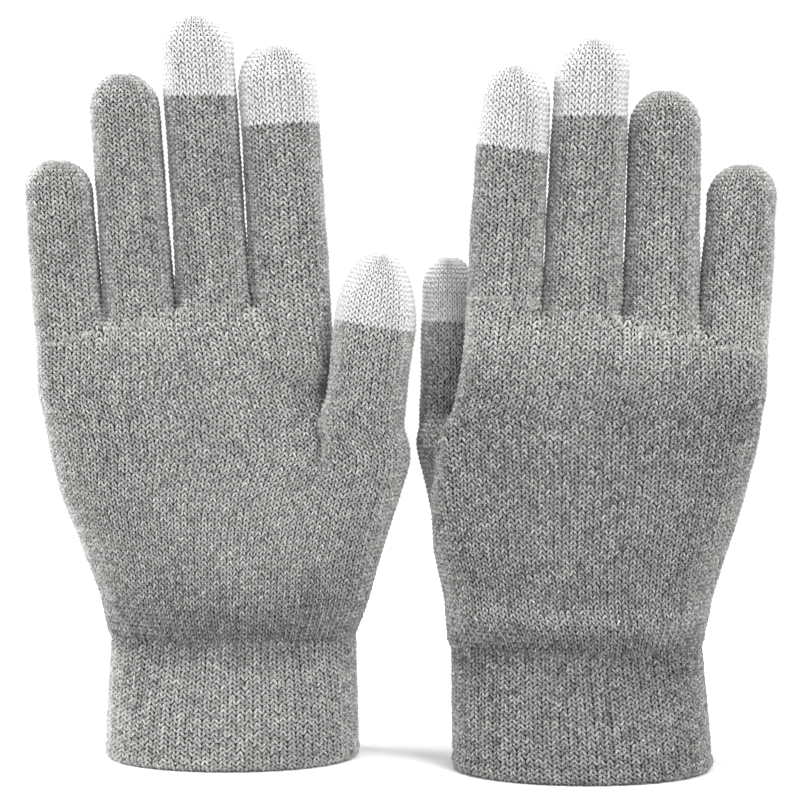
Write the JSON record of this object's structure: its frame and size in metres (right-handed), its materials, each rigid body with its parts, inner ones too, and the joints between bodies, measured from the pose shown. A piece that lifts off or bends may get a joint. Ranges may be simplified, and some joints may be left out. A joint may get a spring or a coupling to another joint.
{
  "type": "touchscreen gloves",
  "caption": "Ribbed-cuff knitted gloves standing on their cuffs, palm and back to the viewer, with conductive yarn tips; the knit folds at the wrist and fingers.",
  "frame": {"origin": "middle of the pair, on the surface the cuffs stand on", "axes": "+Z from the cuffs to the fingertips, +X from the left glove to the right one, +Y away from the viewer; the left glove shows its palm to -Y, the right one its back"},
  "size_m": [0.2127, 0.0626, 0.2129],
  "materials": {
    "grey_knit": "heathered plain knit",
    "conductive_knit": "pale conductive knit",
    "elastic_thread": "matt covered elastic"
  },
  "bodies": {
    "left_cuff": {"left_cuff": "grey_knit", "left_cuff_edge": "grey_knit", "left_cuff_elastic": "elastic_thread"},
    "left_hand": {"left_hand": "grey_knit"},
    "left_little_root": {"left_little_lower": "grey_knit"},
    "left_little_end": {"left_little_upper": "grey_knit"},
    "left_ring_root": {"left_ring_lower": "grey_knit"},
    "left_ring_end": {"left_ring_upper": "grey_knit"},
    "left_middle_root": {"left_middle_lower": "grey_knit"},
    "left_middle_end": {"left_middle_upper": "grey_knit", "left_middle_tip": "conductive_knit"},
    "left_index_root": {"left_index_lower": "grey_knit"},
    "left_index_end": {"left_index_upper": "grey_knit", "left_index_tip": "conductive_knit"},
    "left_thumb_root": {"left_thumb_lower": "grey_knit"},
    "left_thumb_end": {"left_thumb_upper": "grey_knit", "left_thumb_tip": "conductive_knit"},
    "right_cuff": {"right_cuff": "grey_knit", "right_cuff_edge": "grey_knit", "right_cuff_elastic": "elastic_thread"},
    "right_hand": {"right_hand": "grey_knit"},
    "right_little_root": {"right_little_lower": "grey_knit"},
    "right_little_end": {"right_little_upper": "grey_knit"},
    "right_ring_root": {"right_ring_lower": "grey_knit"},
    "right_ring_end": {"right_ring_upper": "grey_knit"},
    "right_middle_root": {"right_middle_lower": "grey_knit"},
    "right_middle_end": {"right_middle_upper": "grey_knit", "right_middle_tip": "conductive_knit"},
    "right_index_root": {"right_index_lower": "grey_knit"},
    "right_index_end": {"right_index_upper": "grey_knit", "right_index_tip": "conductive_knit"},
    "right_thumb_root": {"right_thumb_lower": "grey_knit"},
    "right_thumb_end": {"right_thumb_upper": "grey_knit", "right_thumb_tip": "conductive_knit"}
  },
  "joints": [
    {"name": "left_wrist_fold", "type": "hinge", "parent": "left_cuff", "child": "left_hand", "pos_m": [-0.04688, 0.0014, 0.0355], "axis": [1, 0, 0], "range_deg": [0, 30]},
    {"name": "left_little_root_fold", "type": "hinge", "parent": "left_hand", "child": "left_little_root", "pos_m": [-0.09402, 0.00505, 0.129], "axis": [1, 0, 0], "range_deg": [0, 65]},
    {"name": "left_little_middle_fold", "type": "hinge", "parent": "left_little_root", "child": "left_little_end", "pos_m": [-0.09566, 0.00511, 0.1475], "axis": [1, 0, 0], "range_deg": [0, 78]},
    {"name": "left_ring_root_fold", "type": "hinge", "parent": "left_hand", "child": "left_ring_root", "pos_m": [-0.07392, 0.00504, 0.1365], "axis": [1, 0, 0], "range_deg": [0, 65]},
    {"name": "left_ring_middle_fold", "type": "hinge", "parent": "left_ring_root", "child": "left_ring_end", "pos_m": [-0.07589, 0.00506, 0.1605], "axis": [1, 0, 0], "range_deg": [0, 78]},
    {"name": "left_middle_root_fold", "type": "hinge", "parent": "left_hand", "child": "left_middle_root", "pos_m": [-0.05257, 0.00497, 0.1395], "axis": [1, 0, 0], "range_deg": [0, 65]},
    {"name": "left_middle_middle_fold", "type": "hinge", "parent": "left_middle_root", "child": "left_middle_end", "pos_m": [-0.05419, 0.005, 0.1665], "axis": [1, 0, 0], "range_deg": [0, 78]},
    {"name": "left_index_root_fold", "type": "hinge", "parent": "left_hand", "child": "left_index_root", "pos_m": [-0.03045, 0.00471, 0.1395], "axis": [1, 0, 0], "range_deg": [0, 65]},
    {"name": "left_index_middle_fold", "type": "hinge", "parent": "left_index_root", "child": "left_index_end", "pos_m": [-0.03189, 0.00474, 0.1645], "axis": [1, 0, 0], "range_deg": [0, 78]},
    {"name": "left_thumb_root_fold", "type": "hinge", "parent": "left_hand", "child": "left_thumb_root", "pos_m": [-0.00822, -0.00327, 0.1015], "axis": [1, 0, 0], "range_deg": [0, 35]},
    {"name": "left_thumb_middle_fold", "type": "hinge", "parent": "left_thumb_root", "child": "left_thumb_end", "pos_m": [-0.00687, -0.00438, 0.1185], "axis": [1, 0, 0], "range_deg": [0, 45]},
    {"name": "right_wrist_fold", "type": "hinge", "parent": "right_cuff", "child": "right_hand", "pos_m": [0.05102, -0.0014, 0.0355], "axis": [-1, 0, 0], "range_deg": [0, 30]},
    {"name": "right_little_root_fold", "type": "hinge", "parent": "right_hand", "child": "right_little_root", "pos_m": [0.09477, -0.00505, 0.1275], "axis": [-1, 0, 0], "range_deg": [0, 65]},
    {"name": "right_little_middle_fold", "type": "hinge", "parent": "right_little_root", "child": "right_little_end", "pos_m": [0.09608, -0.00513, 0.1455], "axis": [-1, 0, 0], "range_deg": [0, 78]},
    {"name": "right_ring_root_fold", "type": "hinge", "parent": "right_hand", "child": "right_ring_root", "pos_m": [0.07425, -0.00491, 0.134], "axis": [-1, 0, 0], "range_deg": [0, 65]},
    {"name": "right_ring_middle_fold", "type": "hinge", "parent": "right_ring_root", "child": "right_ring_end", "pos_m": [0.07501, -0.00494, 0.1565], "axis": [-1, 0, 0], "range_deg": [0, 78]},
    {"name": "right_middle_root_fold", "type": "hinge", "parent": "right_hand", "child": "right_middle_root", "pos_m": [0.05205, -0.00481, 0.1365], "axis": [-1, 0, 0], "range_deg": [0, 65]},
    {"name": "right_middle_middle_fold", "type": "hinge", "parent": "right_middle_root", "child": "right_middle_end", "pos_m": [0.05313, -0.00488, 0.1625], "axis": [-1, 0, 0], "range_deg": [0, 78]},
    {"name": "right_index_root_fold", "type": "hinge", "parent": "right_hand", "child": "right_index_root", "pos_m": [0.03035, -0.00496, 0.1365], "axis": [-1, 0, 0], "range_deg": [0, 65]},
    {"name": "right_index_middle_fold", "type": "hinge", "parent": "right_index_root", "child": "right_index_end", "pos_m": [0.03132, -0.00503, 0.1595], "axis": [-1, 0, 0], "range_deg": [0, 78]},
    {"name": "right_thumb_root_fold", "type": "hinge", "parent": "right_hand", "child": "right_thumb_root", "pos_m": [0.01542, 0.01107, 0.103], "axis": [-1, 0, 0], "range_deg": [0, 35]},
    {"name": "right_thumb_middle_fold", "type": "hinge", "parent": "right_thumb_root", "child": "right_thumb_end", "pos_m": [0.01534, 0.01194, 0.1195], "axis": [-1, 0, 0], "range_deg": [0, 45]},
    {"name": "pair_slide", "type": "slide", "parent": "left_cuff", "child": "right_cuff", "axis": [1, 0, 0], "range_m": [0, 0.12]}
  ]
}
